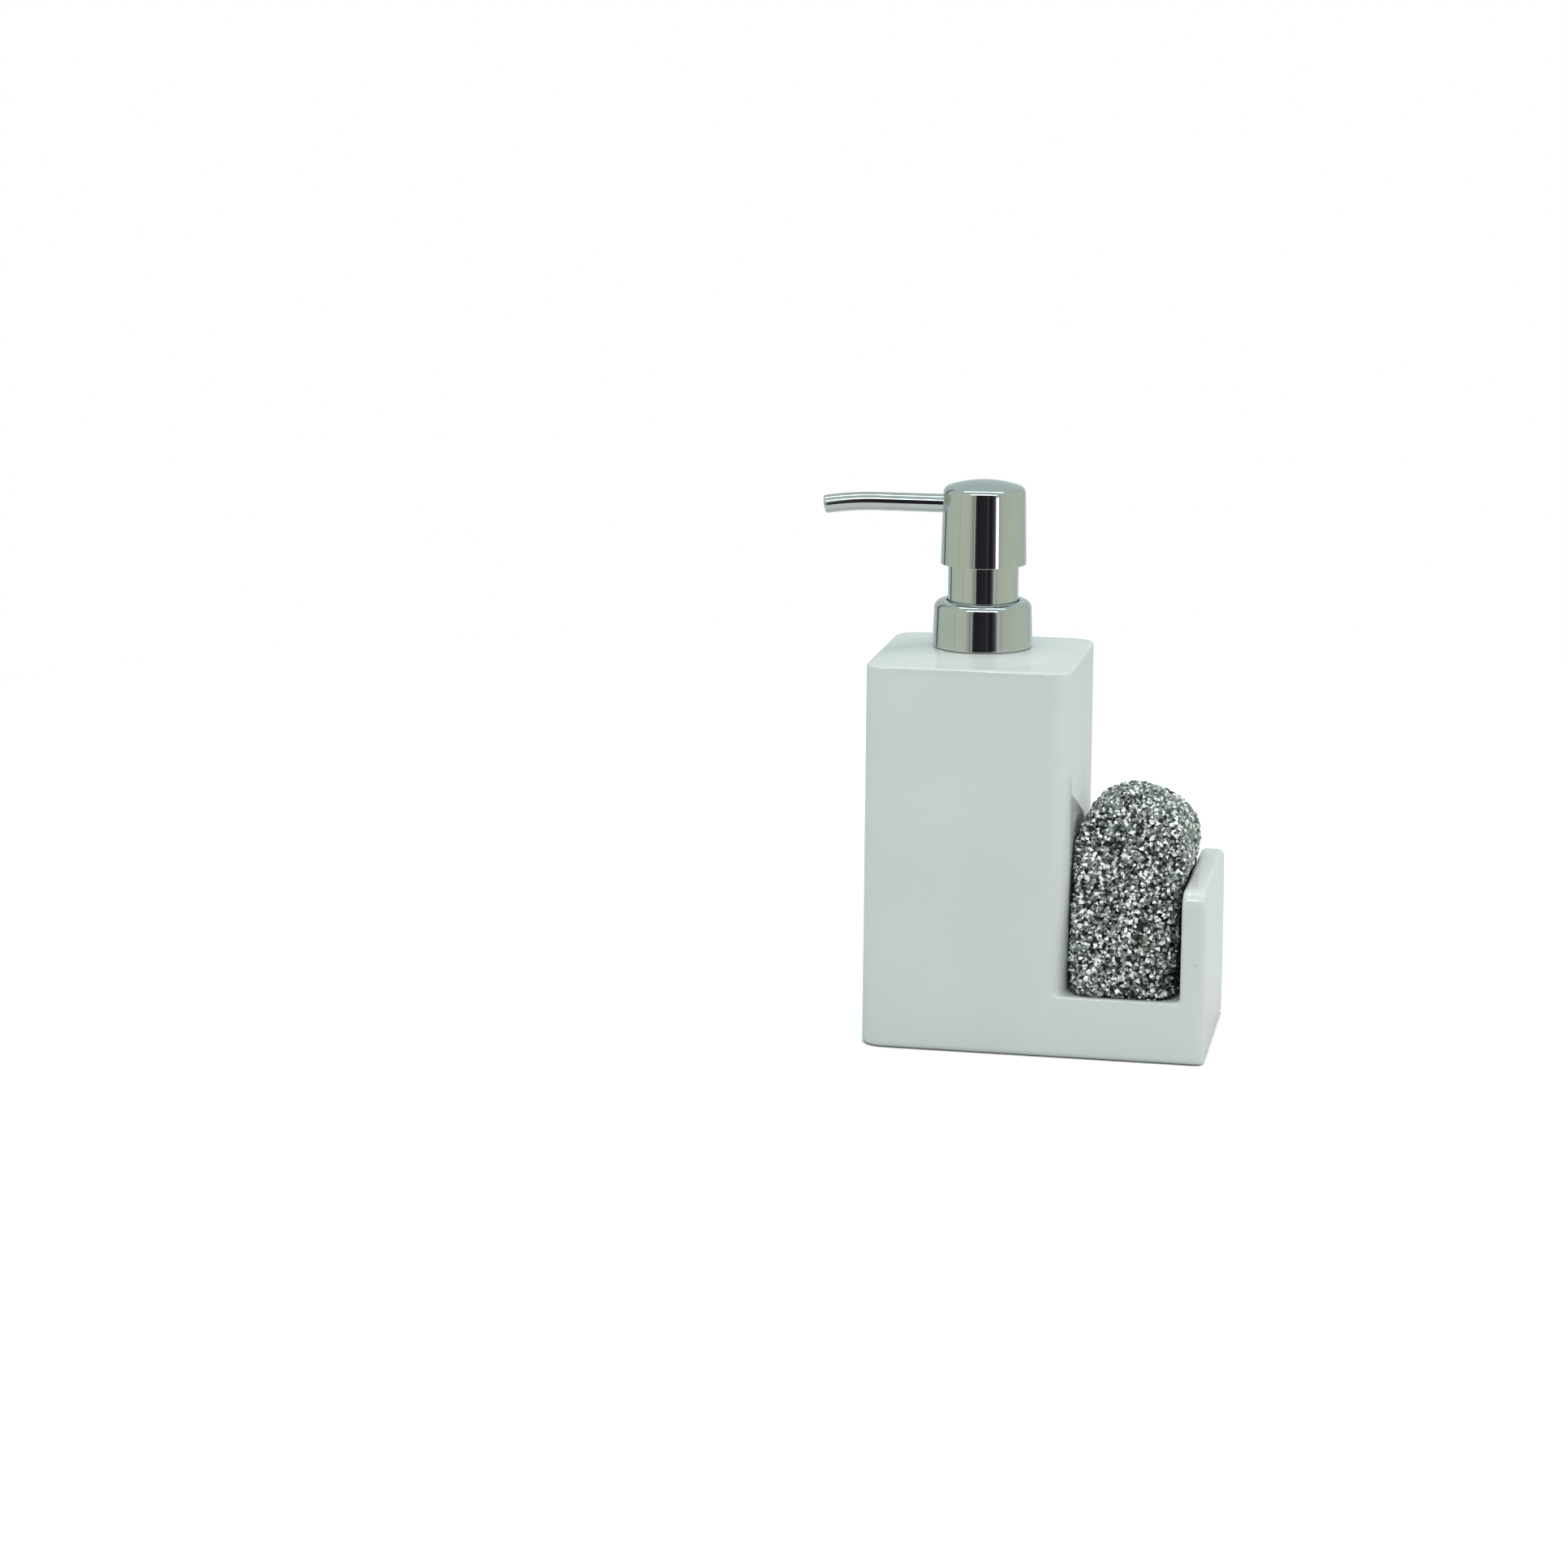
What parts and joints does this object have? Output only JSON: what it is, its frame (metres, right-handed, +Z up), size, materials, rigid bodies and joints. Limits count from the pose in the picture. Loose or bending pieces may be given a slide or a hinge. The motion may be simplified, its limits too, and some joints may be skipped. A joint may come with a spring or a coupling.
{
  "type": "soap dispenser with sponge holder",
  "caption": "Glazed ceramic soap dispenser with a screw-on chrome lotion pump and an open side tray that holds a knit-covered sponge.",
  "frame": {"origin": "centre of the flat base that the ceramic body stands on", "axes": "+Z up, +X from the pump tower towards the sponge holder, +Y to the back; the pictured front faces -Y"},
  "size_m": [0.137, 0.072, 0.19],
  "materials": {
    "glaze": "glossy pale grey-green glaze",
    "chrome_plate": "bright chrome plating",
    "white_plastic": "natural moulded plastic",
    "seal_plastic": "soft moulded plastic",
    "tube_plastic": "milky tube",
    "gasket_rubber": "matt rubber",
    "spring_steel": "bright stainless steel",
    "foam": "open-cell foam",
    "foil_knit": "silvery knitted foil strip"
  },
  "bodies": {
    "dispenser_body": {"ceramic_body": "glaze", "neck_insert": "white_plastic"},
    "pump_unit": {"neck_gasket": "gasket_rubber", "guide_sleeve": "chrome_plate", "stem_guide": "white_plastic", "pump_housing": "white_plastic", "valve_cage": "white_plastic", "return_spring": "spring_steel", "dip_tube": "tube_plastic"},
    "collar": {"collar_shell": "chrome_plate", "collar_liner": "white_plastic"},
    "piston": {"piston_seal": "seal_plastic"},
    "pump_head": {"piston_stem": "white_plastic", "actuator_core": "white_plastic", "actuator_shell": "chrome_plate", "spout_tube": "chrome_plate"},
    "inlet_check": {"inlet_ball": "spring_steel"},
    "outlet_check": {"outlet_ball": "spring_steel"},
    "sponge": {"sponge_core": "foam", "sponge_cover": "foil_knit"}
  },
  "joints": [
    {"name": "pump_lift", "type": "slide", "parent": "dispenser_body", "child": "pump_unit", "axis": [0, 0, 1], "range_m": [0, 0.0063]},
    {"name": "collar_turn", "type": "hinge", "parent": "pump_unit", "child": "collar", "pos_m": [-0.0234, 0, 0.141], "axis": [0, 0, 1], "range_deg": [0, 540]},
    {"name": "pump_press", "type": "slide", "parent": "pump_unit", "child": "piston", "axis": [0, 0, -1], "range_m": [0, 0.011], "stiffness_N_per_m": 600, "springref_m": -0.008, "deforming": ["return_spring"]},
    {"name": "spout_swivel", "type": "hinge", "parent": "piston", "child": "pump_head", "pos_m": [-0.0234, 0, 0.1817], "axis": [0, 0, 1], "continuous": true},
    {"name": "inlet_ball_lift", "type": "slide", "parent": "pump_unit", "child": "inlet_check", "axis": [0, 0, 1], "range_m": [0, 0.0012]},
    {"name": "outlet_ball_lift", "type": "slide", "parent": "pump_head", "child": "outlet_check", "axis": [0, 0, 1], "range_m": [0, 0.0012]},
    {"name": "sponge_lift", "type": "slide", "parent": "dispenser_body", "child": "sponge", "axis": [0, 0, 1], "range_m": [0, 0.07]}
  ],
  "couplings": [
    {"joint": "collar_turn", "follows": "pump_lift", "rad_per_m": 1496}
  ]
}
